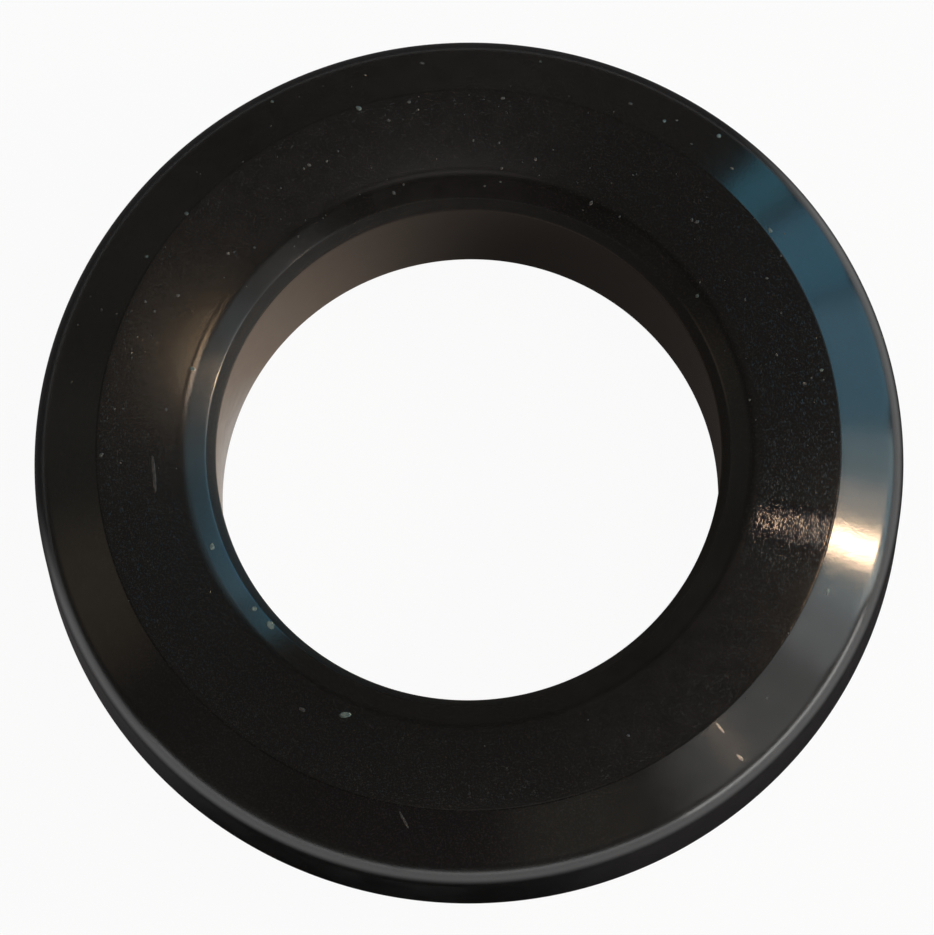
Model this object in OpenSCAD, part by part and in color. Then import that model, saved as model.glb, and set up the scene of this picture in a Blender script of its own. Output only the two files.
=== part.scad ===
// Moulded rubber gasket: one thick ring with flat sealing faces, bevelled
// outer edges, a round-nosed rim and a bore that is countersunk on top.
// The ring lies flat. Its underside is on z = 0 and its axis is the Z axis.

/* [Ring] */
// Outside diameter, at the rim
outer_d = 34.5; // [32:0.5:38]
// Diameter of the bore
bore_d = 20; // [18:0.5:21]
// Height from the underside to the upper sealing face
ring_h = 8.6; // [7.5:0.1:11]

/* [Outer edge] */
// Width of the sloping band between a sealing face and the outer wall
bevel_w = 2.55; // [1.6:0.05:3.2]
// Slope of the upper bevel, in degrees below the sealing face
top_bevel_angle = 28; // [15:1:35]
// Slope of the bevel on the underside, in degrees
under_bevel_angle = 45; // [20:1:45]
// Radius that rounds each bevel into the outer wall
rim_radius = 1.3; // [0.4:0.05:1.6]

/* [Bore edge] */
// Width of the countersink between the upper sealing face and the bore
countersink_w = 1.3; // [1:0.05:1.7]
// Slope of the countersink, in degrees below the sealing face
countersink_angle = 24; // [15:1:35]
// Radius that rounds the countersink into the bore wall
bore_radius = 0.8; // [0.2:0.05:0.9]

/* [Moulded corners] */
// Radius of the crease between the upper face and the outer bevel
outer_crease_radius = 0.25; // [0.1:0.05:0.5]
// Radius of the crease between the upper face and the countersink
inner_crease_radius = 1.3; // [0.1:0.05:1.3]
// Radius of the bore's edge on the underside
under_bore_radius = 0.3; // [0.1:0.05:0.5]

/* [Hidden] */
$fn = 180;
// Largest turn between two points of a rounded corner, in degrees
arc_step = 5;
outer_r = outer_d / 2;
bore_r = bore_d / 2;
top_bevel_drop = bevel_w * tan(top_bevel_angle);
under_bevel_drop = bevel_w * tan(under_bevel_angle);
countersink_drop = countersink_w * tan(countersink_angle);

// The section's sharp corners, anticlockwise from the bore's lower edge,
// each as [distance from the axis, height, radius that rounds it].
CORNERS = [
    [bore_r, 0, under_bore_radius],
    [outer_r - bevel_w, 0, outer_crease_radius],
    [outer_r, under_bevel_drop, rim_radius],
    [outer_r, ring_h - top_bevel_drop, rim_radius],
    [outer_r - bevel_w, ring_h, outer_crease_radius],
    [bore_r + countersink_w, ring_h, inner_crease_radius],
    [bore_r, ring_h - countersink_drop, bore_radius]
];

function corner(i) = let (c = CORNERS[(i + len(CORNERS)) % len(CORNERS)]) [c[0], c[1]];
function unit(v) = v / norm(v);

// Directions from corner i along the section's edges to its two neighbours
function back(i) = unit(corner(i - 1) - corner(i));
function ahead(i) = unit(corner(i + 1) - corner(i));

// Half of the angle inside corner i
function half_angle(i) = acos(back(i) * ahead(i)) / 2;

// Centre of the arc that rounds corner i
function arc_centre(i) =
    corner(i) + unit(back(i) + ahead(i)) * CORNERS[i][2] / sin(half_angle(i));

// The arc that rounds corner i: it starts square to the edge that comes in
// and turns by the angle between the two edges.
function arc(i) =
    let (
        heading = -back(i),
        start = atan2(-heading[0], heading[1]),
        turn = 180 - 2 * half_angle(i),
        steps = ceil(turn / arc_step)
    )
    [
        for (k = [0 : steps])
            let (a = start + turn * k / steps)
                arc_centre(i) + CORNERS[i][2] * [cos(a), sin(a)]
    ];

// The section on one side of the axis, straight between its rounded corners
module section() {
    polygon([
        for (i = [0 : len(CORNERS) - 1])
            each arc(i)
    ]);
}

module gasket() {
    color([0.09, 0.085, 0.08])
        rotate_extrude()
            section();
}

gasket();
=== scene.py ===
"""Looks of the rubber gasket: a fine mesh of the ring, its black rubber, and its studio."""

import math
import random

import bpy
from mathutils import Matrix, Vector, noise

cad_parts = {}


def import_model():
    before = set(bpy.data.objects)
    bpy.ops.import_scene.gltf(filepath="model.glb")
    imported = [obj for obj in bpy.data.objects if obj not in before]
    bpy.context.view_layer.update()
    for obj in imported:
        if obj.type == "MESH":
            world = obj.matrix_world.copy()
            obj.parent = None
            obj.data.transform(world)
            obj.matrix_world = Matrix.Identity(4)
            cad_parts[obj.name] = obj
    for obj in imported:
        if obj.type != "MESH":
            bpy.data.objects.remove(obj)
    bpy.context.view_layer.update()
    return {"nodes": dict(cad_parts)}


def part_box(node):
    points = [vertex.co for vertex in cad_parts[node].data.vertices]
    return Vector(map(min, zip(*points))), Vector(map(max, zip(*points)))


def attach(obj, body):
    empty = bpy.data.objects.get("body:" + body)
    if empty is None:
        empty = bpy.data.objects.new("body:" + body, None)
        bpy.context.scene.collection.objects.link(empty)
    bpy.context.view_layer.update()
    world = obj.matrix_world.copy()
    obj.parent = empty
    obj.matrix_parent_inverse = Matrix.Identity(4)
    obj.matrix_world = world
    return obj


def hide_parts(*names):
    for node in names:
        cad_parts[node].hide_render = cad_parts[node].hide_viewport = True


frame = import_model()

MM = 0.001
LOW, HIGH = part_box("gasket")
OUTER_R = HIGH[0]
TOP_CENTRE = Vector((0, 0, HIGH[2]))

# ---------------------------------------------------------------- the ring's mesh

STEPS_ROUND = 520            # quads once round the ring
SAME_POINT = 0.004 * MM      # CAD vertices nearer than this are one point of the section
STRAIGHT_RATIO = 3           # a straight run is this many times longer than the chord beside it
STRAIGHT_STEP = 0.35 * MM    # longest quad along a straight run of the section
ARC_STEP = 0.06 * MM         # longest quad along a rounded corner
RIPPLE_DEPTH = 0.004 * MM    # how far the moulded surface sinks at most
RIPPLE_LENGTH = 3.0 * MM     # rough distance from one ripple to the next
TOP_SINK = 0.015 * MM        # how far the upper side lies under the CAD's: dust needs room
INNER_SINK = 0.2 * MM        # how much lower still it lies at the face's inner edge
FADE_FROM, FADE_TO = 1.0 * MM, 5.0 * MM     # depths between which the sinking fades out


def cad_section():
    """The ring's section as (radius, height) points in order, read from the CAD mesh."""
    points = []
    for vertex in frame["nodes"]["gasket"].data.vertices:
        point = Vector((math.hypot(vertex.co.x, vertex.co.y), vertex.co.z))
        if all((point - other).length > SAME_POINT for other in points):
            points.append(point)
    middle = sum(points, Vector((0, 0))) / len(points)
    return sorted(points, key=lambda p: math.atan2(p.y - middle.y, p.x - middle.x))


def section_tangent(before, point, after):
    """The section's direction at a point.

    It is that of the straight run which ends there, or else lies between the two chords.
    """
    back, ahead = point - before, after - point
    if back.length > STRAIGHT_RATIO * ahead.length:
        return back.normalized()
    if ahead.length > STRAIGHT_RATIO * back.length:
        return ahead.normalized()
    return (back.normalized() + ahead.normalized()).normalized()


def smooth_section():
    """The section with its rounded corners refined and its straight runs divided."""
    points = cad_section()
    count = len(points)
    following = points[1:] + points[:1]
    tangents = [section_tangent(points[i - 1], points[i], following[i]) for i in range(count)]
    out = []
    for i, start in enumerate(points):
        end = following[i]
        chord = end - start
        leave, arrive = tangents[i] * chord.length, tangents[(i + 1) % count] * chord.length
        straight = (leave - chord).length < 0.01 * chord.length
        steps = math.ceil(chord.length / (STRAIGHT_STEP if straight else ARC_STEP))
        for k in range(steps):
            t = k / steps
            out.append(
                start * (2 * t**3 - 3 * t**2 + 1)
                + leave * (t**3 - 2 * t**2 + t)
                + end * (3 * t**2 - 2 * t**3)
                + arrive * (t**3 - t**2)
            )
    return out


def ripple(point):
    """How far the surface sinks at a point: a faint unevenness, as moulded rubber has."""
    value = noise.noise(point / RIPPLE_LENGTH) + 0.5 * noise.noise(point * 2.3 / RIPPLE_LENGTH)
    return RIPPLE_DEPTH * (0.6 + value / 3)


def sunken(section):
    """The section with its upper face sunk a little towards the bore, as moulded rubber shrinks."""
    face = [p.x for p in section if p.y > HIGH[2] - SAME_POINT]
    outer_edge, width = max(face), max(face) - min(face)
    out = []
    for point in section:
        inside = min(max(outer_edge - point.x, 0) / width, 1)
        faded = min(max((HIGH[2] - point.y - FADE_FROM) / (FADE_TO - FADE_FROM), 0), 1)
        sink = (TOP_SINK + INNER_SINK * inside**2) * (1 - faded)
        out.append(Vector((point.x, point.y - sink)))
    return out


def ring_mesh(section):
    """The gasket as a closed mesh turned from its section."""
    count = len(section)
    vertices = []
    for i, point in enumerate(section):
        along = (section[(i + 1) % count] - section[i - 1]).normalized()
        inward = Vector((-along.y, along.x))
        for k in range(STEPS_ROUND):
            angle = 2 * math.pi * k / STEPS_ROUND
            place = Vector((point.x * math.cos(angle), point.x * math.sin(angle), point.y))
            radius, height = point + inward * ripple(place)
            vertices.append((radius * math.cos(angle), radius * math.sin(angle), height))
    faces = []
    for i in range(count):
        here, there = i * STEPS_ROUND, (i + 1) % count * STEPS_ROUND
        for k in range(STEPS_ROUND):
            beside = (k + 1) % STEPS_ROUND
            faces.append((here + k, here + beside, there + beside, there + k))
    mesh = bpy.data.meshes.new("gasket_ring")
    mesh.from_pydata(vertices, [], faces)
    mesh.polygons.foreach_set("use_smooth", [True] * len(faces))
    mesh.update()
    return mesh


# ---------------------------------------------------------------- dust, scuffs and painted glints

DUST_COUNT = 120
SPECK_SIDES = 10
SPECK_HEIGHT = 0.012 * MM
SPECK_RINGS = ((1.0, -0.5), (0.6, 0.6))     # share of the speck's size, and of its height
SPECK_RAGGED = 0.25                         # how uneven a speck's outline is
SPECK_SEED_SCALE = 3000                     # sets how far the outlines of two specks differ


def surface(section, radius):
    """Height of the upper side at a radius, and how steeply it falls outward there."""
    for inner, outer in zip(section[1:], section):
        if inner.x <= radius <= outer.x and outer.x - inner.x > 1e-9:
            share = (radius - inner.x) / (outer.x - inner.x)
            return inner.y + share * (outer.y - inner.y), (outer.y - inner.y) / (outer.x - inner.x)
    raise ValueError(radius)


def add_speck(section, vertices, faces, radius, azimuth, length, width, turn):
    """A flat dome on the upper side; turn is the angle from the radius to its length."""
    height, slope = surface(section, radius)
    a, t = math.radians(azimuth), math.radians(turn)
    across = Vector((-math.sin(a), math.cos(a), 0))
    outward = Vector((math.cos(a), math.sin(a), slope)).normalized()
    up = outward.cross(across)
    centre = Vector((radius * math.cos(a), radius * math.sin(a), height))
    long_way = outward * math.cos(t) + across * math.sin(t)
    short_way = up.cross(long_way)
    first = len(vertices)
    for share, rise in SPECK_RINGS:
        for k in range(SPECK_SIDES):
            angle = 2 * math.pi * k / SPECK_SIDES
            chance = noise.noise(centre * SPECK_SEED_SCALE + Vector((k, share, 0)))
            uneven = share * (1 + SPECK_RAGGED * chance)
            place = long_way * (math.cos(angle) * length / 2)
            place = place + short_way * (math.sin(angle) * width / 2)
            vertices.append(centre + place * uneven + up * (rise * SPECK_HEIGHT))
    vertices.append(centre + up * SPECK_HEIGHT)
    for k in range(SPECK_SIDES):
        beside = (k + 1) % SPECK_SIDES
        low, high = first, first + SPECK_SIDES
        faces.append((low + k, low + beside, high + beside, high + k))
        faces.append((high + k, high + beside, high + SPECK_SIDES))
    faces.append(tuple(first + k for k in reversed(range(SPECK_SIDES))))


def specks(name, section, places, material):
    """One mesh of specks; a place is radius, azimuth, length, width and turn.

    Lengths are in millimetres and angles in degrees.
    """
    vertices, faces = [], []
    for radius, azimuth, length, width, turn in places:
        add_speck(section, vertices, faces, radius * MM, azimuth, length * MM, width * MM, turn)
    mesh = bpy.data.meshes.new(name)
    mesh.from_pydata([tuple(v) for v in vertices], [], faces)
    mesh.polygons.foreach_set("use_smooth", [True] * len(faces))
    mesh.update()
    mesh.materials.append(material)
    obj = bpy.data.objects.new(name, mesh)
    bpy.context.collection.objects.link(obj)
    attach(obj, "root")


def dust_places():
    """Fine dust, thickest on the far side of the ring, as places for specks()."""
    pick = random.Random(7)
    places = []
    while len(places) < DUST_COUNT:
        azimuth = pick.gauss(85, 65) % 360
        radius = pick.uniform(10.8, 16.5)
        size = 0.05 + 0.11 * pick.random() ** 3
        places.append((radius, azimuth, size * pick.uniform(1, 1.5), size, pick.uniform(0, 180)))
    return places


DEBRIS_AND_GLINT = [
    # crumbs and dried spots, and one painted glint on the crease: radius, azimuth, length, width,
    # turn
    (16.4, 50, 0.24, 0.20, 0),
    (15.6, 57.5, 0.20, 0.16, 0),
    (14.6, 105, 0.30, 0.20, 40),
    (16.5, 116, 0.18, 0.15, 0),
    (14.75, 137, 0.20, 0.18, 0),
    (15.0, 146, 0.18, 0.15, 30),
    (14.9, 34, 0.30, 0.20, 80),
    (11.0, 32, 0.18, 0.16, 0),
    (14.3, 10, 0.16, 0.14, 0),
    # a painted glint where the inner crease catches the light, not a crumb
    (11.4, 161, 0.20, 0.16, 0),
    (10.85, 199, 0.34, 0.26, 60),
    (10.6, 215, 0.28, 0.24, 0),
    (10.55, 220, 0.45, 0.36, 90),
    (11.85, 243.5, 0.55, 0.28, 117),
    (15.3, 335, 0.34, 0.14, 90),
]
SMEARS = [
    # faint rubbed marks
    (12.45, 182.5, 1.9, 0.18, 90),
    (15.2, 258, 0.9, 0.12, 36),
    (12.45, 236, 0.3, 0.2, 90),
]
PAINTED_GLINT_NICKS = [
    # small nicks in a row on the slope, with their glint painted into a pale colour
    (15.03, 308.5, 0.62, 0.12, 2),
    (16.35, 308.2, 0.42, 0.15, 10),
]


# ---------------------------------------------------------------- materials


class Nodes:
    """Short calls for making and joining shader nodes."""

    def __init__(self, tree):
        self.tree = tree
        tree.nodes.clear()

    def add(self, kind, inputs=(), **settings):
        """Adds a node; inputs maps a socket's name or number to a value or a node's output."""
        node = self.tree.nodes.new(kind)
        for name, value in settings.items():
            setattr(node, name, value)
        for name, value in dict(inputs).items():
            self.fill(node.inputs[name], value)
        return node

    def fill(self, socket, value):
        if isinstance(value, bpy.types.NodeSocket):
            self.tree.links.new(value, socket)
        else:
            socket.default_value = value

    def math(self, operation, *values):
        return self.add("ShaderNodeMath", dict(enumerate(values)), operation=operation).outputs[0]

    def smooth(self, value, low, high, to_low=0.0, to_high=1.0):
        """A smooth step: to_low where value is at low, to_high where it is at high."""
        inputs = {"Value": value, "From Min": low, "From Max": high}
        inputs.update({"To Min": to_low, "To Max": to_high})
        return self.add("ShaderNodeMapRange", inputs, interpolation_type="SMOOTHSTEP").outputs[0]

    def noise(self, vector, scale, detail=2.0):
        inputs = {"Vector": vector, "Scale": scale, "Detail": detail}
        return self.add("ShaderNodeTexNoise", inputs).outputs[0]

    def blend(self, factor, first, second):
        """The colour first where factor is 0, and second where it is 1."""
        node = self.add("ShaderNodeMix", data_type="RGBA")
        for number, value in ((0, factor), (6, first), (7, second)):
            self.fill(node.inputs[number], value)
        return node.outputs[2]


    def scaled(self, vector, factor):
        inputs = {0: vector, "Scale": factor}
        return self.add("ShaderNodeVectorMath", inputs, operation="SCALE").outputs[0]

    def unit(self, vector):
        return self.add("ShaderNodeVectorMath", {0: vector}, operation="NORMALIZE").outputs[0]

    def dot(self, first, second):
        inputs = {0: first, 1: second}
        return self.add("ShaderNodeVectorMath", inputs, operation="DOT_PRODUCT").outputs["Value"]

    def towards(self, azimuth, vector):
        """How far a vector reaches towards an azimuth."""
        return self.dot(vector, tuple(direction(azimuth, 0)))

    def place_in_mm(self):
        """Where the shaded point is, in the object's own frame."""
        return self.scaled(self.add("ShaderNodeTexCoord").outputs["Object"], 1 / MM)

    def mirrored(self, rays):
        """1 where a mirror or a glass shows the point, else 0."""
        return self.math("MAXIMUM", rays["Is Glossy Ray"], rays["Is Transmission Ray"])


def direction(azimuth, elevation):
    """Unit vector from the ring: azimuth is counted from +X towards +Y, in degrees."""
    a, e = math.radians(azimuth), math.radians(elevation)
    return Vector((math.cos(e) * math.cos(a), math.cos(e) * math.sin(a), math.sin(e)))


def new_material(name):
    material = bpy.data.materials.new(name)
    material.use_nodes = True
    return material, Nodes(material.node_tree)


# Lengths in the materials are in millimetres, and angles in degrees.
MARK_PITCH = 0.05            # from one turned mark on the face to the next
MARK_DEPTH = 0.0062          # also the scale of the grain's depth
WORN_AZIMUTH = 343.4         # the marks are closest together there
FACE_INNER_R = 11.4
FACE_OUTER_R = 14.7
BORE_R = 10.0
WALL_TOP = 6.4               # the outer wall is below this height
DEEP_BLACK = (0.0022, 0.0020, 0.0020, 1)
WARM_BLACK = (0.0036, 0.0030, 0.0025, 1)
WARM_FILM = (0.0190, 0.0160, 0.0135, 1)
COOL_FILM = (0.0150, 0.0165, 0.0175, 1)
DUSTY_BLACK = (0.0145, 0.0130, 0.0125, 1)
LEFT_GLOSS, RIGHT_GLOSS = 0.195, 0.172      # roughness at the ring's left and right ends
MOULDED_EDGE_ROUGHNESS = 0.7                # of the line where the countersink meets the bore


def rubber_colour(n, in_mm, outward, lower):
    """Near black, mottled, with specks of film and two dustier stretches of the ring."""
    mottle = n.smooth(n.noise(in_mm, 0.9, 4.0), 0.35, 0.7)
    black = n.blend(mottle, DEEP_BLACK, WARM_BLACK)
    film_tint = n.smooth(n.noise(in_mm, 6.0, 0.0), 0.4, 0.6)
    film = n.smooth(n.noise(in_mm, 15.0, 2.0), 0.5, 0.66)
    colour = n.blend(film, black, n.blend(film_tint, WARM_FILM, COOL_FILM))
    far = n.smooth(n.towards(110, outward), 0.6, 0.95)
    near_right = n.smooth(n.towards(312, outward), 0.85, 0.98)
    dusty = n.math("MAXIMUM", far, near_right)
    dusty = n.math("MAXIMUM", dusty, n.math("MULTIPLY", lower, 0.3))
    patchy = n.smooth(n.noise(in_mm, 1.3, 5.0), 0.35, 0.65, 0.2, 0.8)
    return n.blend(n.math("MULTIPLY", dusty, patchy), colour, DUSTY_BLACK)


def turned_marks(n, x, y, z, radius, outward):
    """Broken rings of fine marks on the face, as a height; they lie closest where it is worn."""
    ridges = n.math("SINE", n.math("MULTIPLY", radius, 2 * math.pi / MARK_PITCH))
    arc = n.math("MULTIPLY", n.math("ARCTAN2", y, x), 2.0)
    skew = n.math("MULTIPLY", n.math("ADD", radius, arc), 0.4)
    stretched = n.add("ShaderNodeCombineXYZ", {0: radius, 1: arc, 2: skew}).outputs[0]
    worn = n.towards(WORN_AZIMUTH, outward)
    rare = n.smooth(worn, 0.5, 0.98, 0.725, 0.69)
    rare = n.math("SUBTRACT", rare, n.smooth(worn, 0.975, 0.998, 0.0, 0.05))
    closest = n.smooth(radius, 11.8, 14.0, 0.15, 0.26)
    closest = n.math("MULTIPLY", n.smooth(worn, 0.998, 1.0), closest)
    rare = n.math("SUBTRACT", rare, closest)
    broken = n.math("SUBTRACT", n.noise(stretched, 48.0, 0.0), rare)
    broken = n.smooth(broken, 0.0, 0.05)
    inner = n.smooth(radius, FACE_INNER_R, FACE_INNER_R + 0.4)
    outer = n.smooth(radius, FACE_OUTER_R, FACE_OUTER_R - 0.2)
    on_face = n.math("MULTIPLY", inner, outer)
    on_face = n.math("MULTIPLY", on_face, n.math("GREATER_THAN", z, 7.0))
    return n.math("MULTIPLY", ridges, n.math("MULTIPLY", broken, on_face))


def rubber_roughness(n, in_mm, x, z, radius, lower):
    """Even gloss, a little duller on the handled outer wall and dull on the bore's upper edge."""
    rough = n.smooth(n.noise(in_mm, 1.7, 3.0), 0.3, 0.7, -0.01, 0.01)
    rough = n.math("ADD", rough, n.smooth(x, -15.0, 15.0, LEFT_GLOSS, RIGHT_GLOSS))
    handled = n.smooth(n.noise(in_mm, 0.5, 4.0), 0.3, 0.7, 0.0, 0.06)
    rough = n.math("ADD", rough, n.math("MULTIPLY", lower, handled))
    edge = n.smooth(radius, BORE_R + 0.42, BORE_R + 0.34)
    edge = n.math("MULTIPLY", edge, n.smooth(z, 7.3, 7.6))
    return n.math("MAXIMUM", rough, n.math("MULTIPLY", edge, MOULDED_EDGE_ROUGHNESS))


def rubber():
    """Black moulded rubber, with a gloss that is drawn out radially."""
    material, n = new_material("black_rubber")
    in_mm = n.place_in_mm()
    x, y, z = n.add("ShaderNodeSeparateXYZ", {0: in_mm}).outputs
    radius = n.math("SQRT", n.math("ADD", n.math("MULTIPLY", x, x), n.math("MULTIPLY", y, y)))
    outward = n.unit(n.add("ShaderNodeCombineXYZ", {0: x, 1: y, 2: 0.0}).outputs[0])
    outside = n.math("GREATER_THAN", radius, BORE_R + 2)
    lower = n.math("MULTIPLY", n.smooth(z, WALL_TOP, WALL_TOP - 0.4), outside)

    grain = n.math("MULTIPLY", n.noise(in_mm, 14.0, 2.0), 0.25)
    height = n.math("ADD", turned_marks(n, x, y, z, radius, outward), grain)
    relief = {"Strength": 1.0, "Distance": MARK_DEPTH * MM, "Height": height}
    bump = n.add("ShaderNodeBump", relief)
    around = n.add("ShaderNodeTangent", direction_type="RADIAL", axis="Z")
    look = {
        "Base Color": rubber_colour(n, in_mm, outward, lower),
        "Roughness": rubber_roughness(n, in_mm, x, z, radius, lower),
        "Specular IOR Level": 0.75,
        "Anisotropic": 0.8,
        "Anisotropic Rotation": 0.25,
        "Normal": bump.outputs[0],
        "Tangent": around.outputs[0],
    }
    shader = n.add("ShaderNodeBsdfPrincipled", look)
    n.add("ShaderNodeOutputMaterial", {"Surface": shader.outputs[0]})
    return material


POWDER_ROUGHNESS = 0.8


def speck_material(name, colour):
    """A dull, uneven tone for specks: dust and matter on the rubber, and painted glints where it is
    pale.
    """
    material, n = new_material(name)
    place = n.add("ShaderNodeTexCoord").outputs["Object"]
    tone = n.noise(place, 9 / MM, 2.0)
    dark = tuple(c * 0.6 for c in colour[:3]) + (1,)
    shade = n.blend(n.smooth(tone, 0.35, 0.65), dark, colour)
    look = {"Base Color": shade, "Roughness": POWDER_ROUGHNESS, "Specular IOR Level": 0.3}
    shader = n.add("ShaderNodeBsdfPrincipled", look)
    n.add("ShaderNodeOutputMaterial", {"Surface": shader.outputs[0]})
    return material


# ---------------------------------------------------------------- the studio

FLOOR_SIZE = 4.0
FLOOR_GAP = 0.02 * MM        # how far the floor lies under the ring
FLOOR_COLOUR = (0.8, 0.8, 0.8, 1)
WHITE = (1, 1, 1, 1)
FLOOR_WHITENESS = 0.95       # share of plain white in what the camera sees of the floor
RING_R = OUTER_R / MM
NEAR_SHADE = (0.004, 0.004, 0.004, 1)
SIDE_SHADE = (0.03, 0.028, 0.03, 1)
FAR_SHADE = (0.08, 0.076, 0.076, 1)
DIM_IN_BORE = (0.045, 0.038, 0.034, 1)
WARM_IN_BORE = (0.50, 0.39, 0.31, 1)
BRIGHT_IN_BORE = (0.9, 0.82, 0.75, 1)


def floor_in_mirror(n):
    """The floor's colour where the ring mirrors it.

    It is white, but for the shade that the thick ring throws close about itself and the warm
    light that falls through the bore.
    """
    in_mm = n.place_in_mm()
    radius = n.add("ShaderNodeVectorMath", {0: in_mm}, operation="LENGTH").outputs["Value"]
    outward = n.unit(in_mm)
    near = n.smooth(n.towards(255, outward), 0.80, 0.97)
    far = n.smooth(n.towards(130, outward), -0.2, 0.4)
    shade = n.blend(far, n.blend(near, SIDE_SHADE, NEAR_SHADE), FAR_SHADE)
    warm = n.smooth(n.towards(205, in_mm), -6.0, 6.0)
    bright = n.smooth(n.towards(175, in_mm), 8.2, 9.9)
    in_bore = n.blend(bright, n.blend(warm, DIM_IN_BORE, WARM_IN_BORE), BRIGHT_IN_BORE)
    close = n.blend(n.math("LESS_THAN", radius, BORE_R + 2), shade, in_bore)
    front = n.smooth(n.towards(295, outward), -0.5, -0.2)
    front = n.math("MULTIPLY", front, n.smooth(radius, RING_R + 3, RING_R + 14))
    open_floor = n.smooth(radius, 150.0, 400.0)
    return n.blend(n.math("MAXIMUM", front, open_floor), close, WHITE)


def floor():
    """A plain pale floor. The camera sees it almost white, with the ring's shadow."""
    mesh = bpy.data.meshes.new("floor")
    half = FLOOR_SIZE / 2
    corners = [(-half, -half, 0), (half, -half, 0), (half, half, 0), (-half, half, 0)]
    mesh.from_pydata(corners, [], [(0, 1, 2, 3)])
    material, n = new_material("floor")
    mirrored_colour = floor_in_mirror(n)

    rays = n.add("ShaderNodeLightPath").outputs
    lit = n.add("ShaderNodeBsdfDiffuse", {"Color": FLOOR_COLOUR}).outputs[0]
    white = n.add("ShaderNodeEmission", {"Color": WHITE, "Strength": 1.0}).outputs[0]
    mirrored = n.add("ShaderNodeEmission", {"Color": mirrored_colour, "Strength": 1.0}).outputs[0]
    whiteness = n.math("MULTIPLY", rays["Is Camera Ray"], FLOOR_WHITENESS)
    shown = n.add("ShaderNodeMixShader", {0: whiteness, 1: lit, 2: white}).outputs[0]
    surface = {0: n.mirrored(rays), 1: shown, 2: mirrored}
    surface = n.add("ShaderNodeMixShader", surface).outputs[0]
    n.add("ShaderNodeOutputMaterial", {"Surface": surface})
    mesh.materials.append(material)
    obj = bpy.data.objects.new("floor", mesh)
    obj.location.z = LOW[2] - FLOOR_GAP
    bpy.context.collection.objects.link(obj)


ROOM_DARK = (0.045, 0.041, 0.038, 1)
ROOM_PALE = (0.11, 0.10, 0.09, 1)
GLOWS = [
    # soft patches of light in the dim room: azimuth, elevation, how wide, colour
    (-34, 37, 21, (0.78, 0.80, 0.79)),
    (-5, 38, 9, (0.3, 0.28, 0.27)),
    (-72, 42, 14, (0.2, 0.18, 0.15)),
    (47, 36, 12, (0.22, 0.15, 0.08)),
    (183, 33, 15, (0.27, 0.21, 0.15)),
    (150, 30, 35, (0.06, 0.06, 0.05)),
    (90, 76, 28, (0.075, 0.068, 0.066)),
    (290, 86, 8, (0.42, 0.39, 0.37)),
    (165, 33, 20, (0.05, 0.05, 0.045)),
    (214, 43, 20, (0.05, 0.045, 0.045)),
    (257, 48, 20, (0.06, 0.045, 0.05)),
]


def world():
    """A dim room with soft patches of light, white where the camera looks past the floor."""
    made = bpy.data.worlds.new("studio")
    bpy.context.scene.world = made
    made.use_nodes = True
    n = Nodes(made.node_tree)
    way = n.add("ShaderNodeTexCoord").outputs["Generated"]
    height = n.add("ShaderNodeSeparateXYZ", {0: way}).outputs[2]
    patches = n.smooth(n.noise(way, 1.6, 2.0), 0.35, 0.65)
    patches = n.math("MULTIPLY", patches, n.smooth(height, 0.6, 0.85, 1.0, 0.3))
    colour = n.blend(patches, ROOM_DARK, ROOM_PALE)
    for azimuth, elevation, wide, glow in GLOWS:
        centre = tuple(direction(azimuth, elevation))
        share = n.smooth(n.dot(way, centre), math.cos(math.radians(wide)), 1.0)
        both = {0: colour, 1: n.scaled(glow, share)}
        colour = n.add("ShaderNodeVectorMath", both, operation="ADD").outputs[0]
    rays = n.add("ShaderNodeLightPath").outputs
    backdrop = n.math("MULTIPLY", n.mirrored(rays), n.math("LESS_THAN", height, 0.02))
    room = n.add("ShaderNodeBackground", {"Color": colour, "Strength": 1.0}).outputs[0]
    white = n.add("ShaderNodeBackground", {"Color": WHITE, "Strength": 1.0}).outputs[0]
    seen = n.math("MAXIMUM", rays["Is Camera Ray"], backdrop)
    mixed = n.add("ShaderNodeMixShader", {0: seen, 1: room, 2: white}).outputs[0]
    n.add("ShaderNodeOutputWorld", {"Surface": mixed})


def softbox(name, azimuth, elevation, wide, high, radiance, distance=1.0):
    """An area lamp that faces the ring, as wide and high as it looks from there in degrees.

    Its radiance is a colour, in which 1 is as bright as a lit white surface.
    """
    data = bpy.data.lights.new(name, "AREA")
    data.shape = "RECTANGLE"
    data.size = 2 * math.tan(math.radians(wide / 2)) * distance
    data.size_y = 2 * math.tan(math.radians(high / 2)) * distance
    peak = max(radiance)
    data.color = [c / peak for c in radiance]
    data.energy = 4 * peak * data.size * data.size_y     # watts, by the size of the lamp
    obj = bpy.data.objects.new(name, data)
    way = direction(azimuth, elevation)
    obj.location = TOP_CENTRE + way * distance
    obj.rotation_mode = "QUATERNION"
    obj.rotation_quaternion = way.to_track_quat("Z", "Y")
    obj.visible_camera = False
    bpy.context.collection.objects.link(obj)


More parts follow.
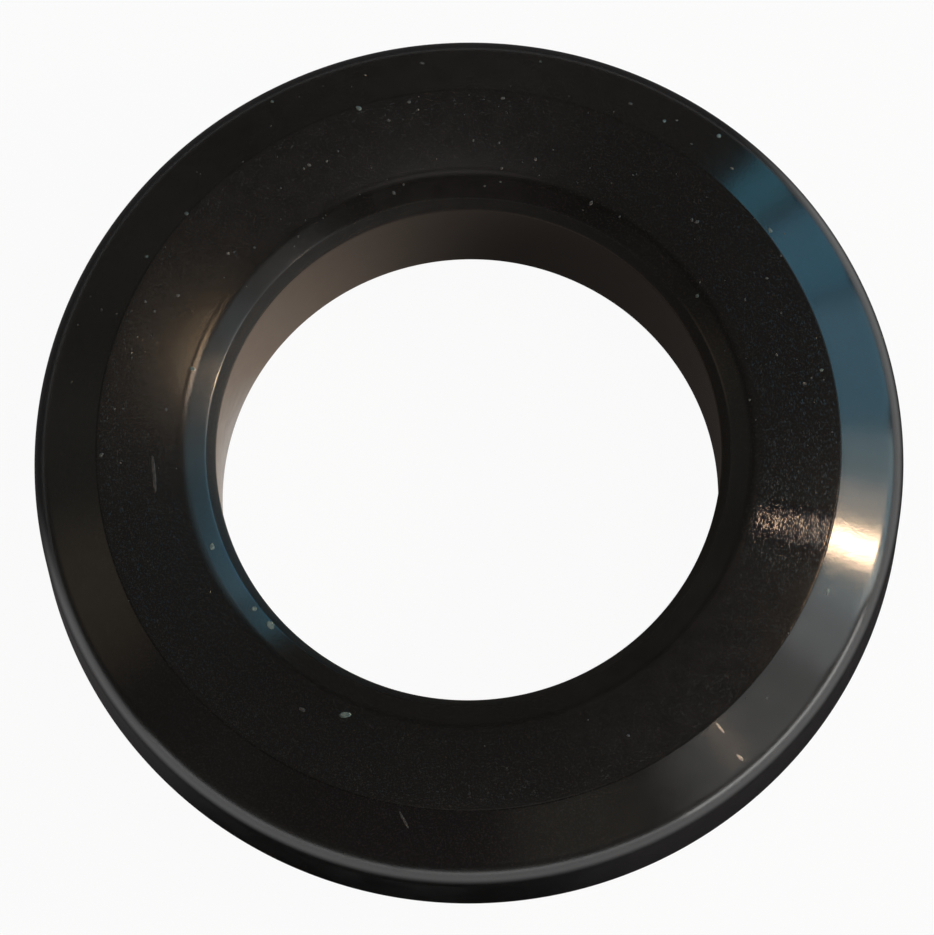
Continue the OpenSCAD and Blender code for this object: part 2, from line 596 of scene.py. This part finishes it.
LAMPS = {
    # name: azimuth, elevation, width, height, radiance, and distance in metres if not 1
    "window_left": (51.7, 20.5, 5.2, 33, (0.16, 0.70, 0.98)),
    "window_middle": (41.6, 21, 10.4, 34, (0.24, 0.80, 1.18)),
    "window_right": (26, 20.5, 16.5, 33, (0.42, 0.96, 1.30)),
    "window_high": (34, 48, 22, 20, (0.17, 0.26, 0.29)),
    "wall_pale": (3, 20.5, 24, 32, (1.1, 1.55, 1.72)),
    "wall_glow": (5.8, 33, 5.3, 12, (2.3, 1.65, 1.15)),
    "wall_high": (3, 48, 28, 20, (0.18, 0.23, 0.25)),
    "wall_mid": (-14.5, 31, 9, 26, (0.82, 0.86, 0.88)),
    "wall_side": (-6, 18, 7, 30, (1.6, 1.4, 1.2)),
    "key": (-1.9, 31, 2.5, 7, (98, 67, 41), 0.15),
    "key_high": (24.9, 72, 2.8, 2.8, (25, 16.8, 9.2)),
    "spot_high": (19, 66.1, 2, 2, (48, 40, 34)),
    "bulb": (-39.4, 44.4, 1.0, 1.5, (20, 14, 9)),
    "front_left": (232, 3, 47, 6, (1.6, 1.6, 1.6)),
    "front": (280, 3, 47, 6, (2.0, 2.0, 2.0)),
    "front_right": (326, 3, 44, 7, (4.6, 4.6, 4.5)),
}


def lamps():
    for name, settings in LAMPS.items():
        softbox(name, *settings)


# ---------------------------------------------------------------- the camera

CAMERA_ELEVATION = 75.6      # degrees above the floor
CAMERA_ROLL = 2.5            # degrees
CAMERA_DISTANCE = 20.0       # in outside radii of the ring, from the top face
RING_IN_PICTURE = 0.4676     # the ring's outside radius as a share of the picture's long side
AIM_RIGHT = -0.0027          # where the camera aims, from the top face's centre, in outside radii
AIM_UP = -0.049


def camera():
    data = bpy.data.cameras.new("camera")
    data.lens = data.sensor_width * RING_IN_PICTURE * CAMERA_DISTANCE
    obj = bpy.data.objects.new("camera", data)
    e, roll = math.radians(CAMERA_ELEVATION), math.radians(CAMERA_ROLL)
    back = Vector((0, -math.cos(e), math.sin(e)))
    level, steep = Vector((1, 0, 0)), Vector((0, math.sin(e), math.cos(e)))
    right = level * math.cos(roll) - steep * math.sin(roll)
    up = level * math.sin(roll) + steep * math.cos(roll)
    aim = TOP_CENTRE + (right * AIM_RIGHT + up * AIM_UP) * OUTER_R
    obj.rotation_mode = "QUATERNION"
    obj.rotation_quaternion = Matrix((right, up, back)).transposed().to_quaternion()
    obj.location = aim + back * CAMERA_DISTANCE * OUTER_R
    bpy.context.collection.objects.link(obj)
    bpy.context.scene.camera = obj


# ---------------------------------------------------------------- the scene

upper_section = sunken(smooth_section())
gasket = bpy.data.objects.new("gasket_ring", ring_mesh(upper_section))
gasket.data.materials.append(rubber())
bpy.context.collection.objects.link(gasket)
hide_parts("gasket")
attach(gasket, "root")

specks("dust", upper_section, dust_places(), speck_material("dust", (0.17, 0.165, 0.155, 1)))
# one of these specks, on the inner crease, is a painted glint
specks("debris_and_glint", upper_section, DEBRIS_AND_GLINT, speck_material("debris_and_glint", (0.24, 0.29, 0.27, 1)))
specks("smears", upper_section, SMEARS, speck_material("smears", (0.10, 0.09, 0.085, 1)))
# the pale colour of these nicks is a painted glint of light on them
specks("painted_glint_nicks", upper_section, PAINTED_GLINT_NICKS, speck_material("painted_glint_nicks", (0.85, 0.66, 0.52, 1)))

floor()
world()
lamps()
camera()
bpy.context.scene.view_settings.view_transform = "Standard"
